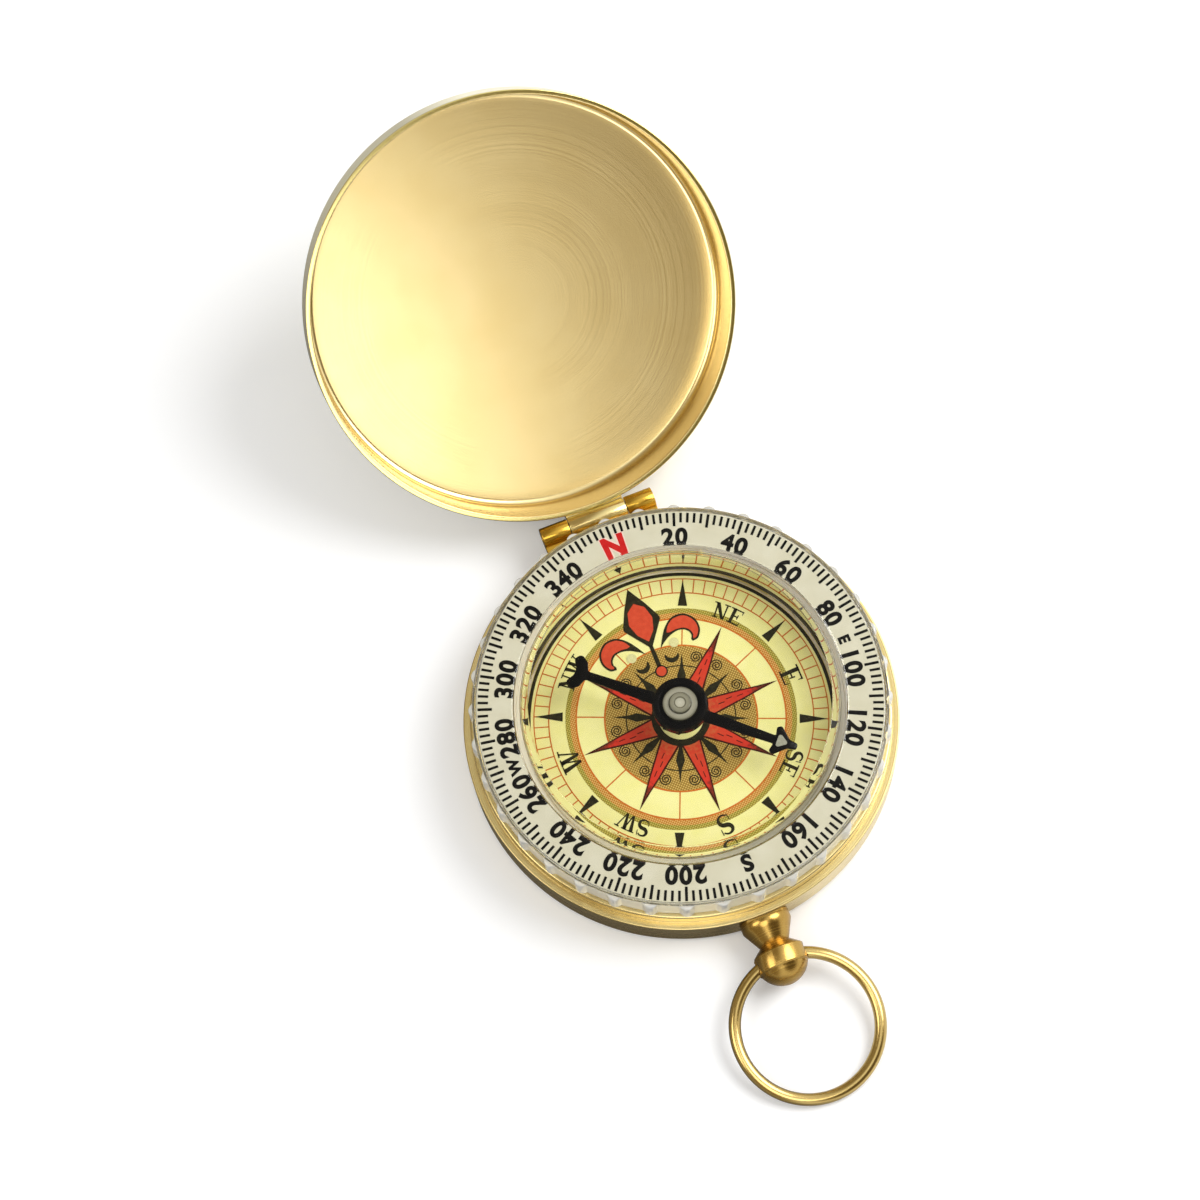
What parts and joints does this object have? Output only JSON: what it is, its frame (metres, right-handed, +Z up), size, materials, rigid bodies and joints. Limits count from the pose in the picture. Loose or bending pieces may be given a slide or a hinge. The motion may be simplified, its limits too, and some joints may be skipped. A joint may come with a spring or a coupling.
{
  "type": "folding pocket compass",
  "caption": "Round brass pocket compass with a hinged lid, a turning clear scale ring, a pivoted needle over a printed dial, and a bow ring on a turned pendant.",
  "frame": {"origin": "centre of the case's flat underside, on the table", "axes": "+Z up out of the dial, +Y towards the lid hinge, -Y along the pendant, +X to the right"},
  "size_m": [0.05, 0.1188, 0.0339],
  "materials": {
    "case_brass": "polished and lightly brushed",
    "turned_brass": "turned, satin",
    "inner_brass": "bright turned",
    "steel": "ground",
    "felt": "pressed felt",
    "white_plastic": "moulded",
    "crystal": "clear polished acrylic",
    "clear_acrylic": "clear moulded acrylic",
    "scale_print": "printed plastic ring",
    "dial_print": "printed card",
    "needle_black": "black lacquer",
    "lume": "luminous paint"
  },
  "bodies": {
    "case": {"case_body": "case_brass", "backing_pad": "felt", "seat_ring": "inner_brass", "capsule_base": "white_plastic", "pivot_pin": "steel", "dial_card": "dial_print", "dial_lume_dots": "lume", "capsule_crystal": "crystal", "hinge_knuckle_left": "turned_brass", "hinge_knuckle_right": "turned_brass", "hinge_pin": "steel", "pendant_collar": "turned_brass", "pendant_ball": "turned_brass"},
    "lid": {"lid_shell": "case_brass", "lid_hinge_tongue": "case_brass"},
    "bezel": {"bezel_ring": "clear_acrylic", "bezel_scale": "scale_print", "bezel_retainer": "clear_acrylic"},
    "needle": {"needle_blade": "needle_black", "needle_hub": "needle_black", "needle_jewel": "crystal", "needle_tip_lume": "lume"},
    "bow": {"bow_ring": "turned_brass"}
  },
  "joints": [
    {"name": "lid_hinge", "type": "hinge", "parent": "case", "child": "lid", "pos_m": [0, 0.02625, 0.0052], "axis": [1, 0, 0], "range_deg": [0, 145.82]},
    {"name": "bezel_turn", "type": "hinge", "parent": "case", "child": "bezel", "pos_m": [0, 0, 0.009], "axis": [0, 0, 1], "continuous": true},
    {"name": "needle_spin", "type": "hinge", "parent": "case", "child": "needle", "pos_m": [0, 0, 0.009], "axis": [0, 0, 1], "continuous": true},
    {"name": "bow_swing", "type": "hinge", "parent": "case", "child": "bow", "pos_m": [0, -0.0301, 0.0032], "axis": [1, 0, 0], "range_deg": [-112, 95]}
  ]
}
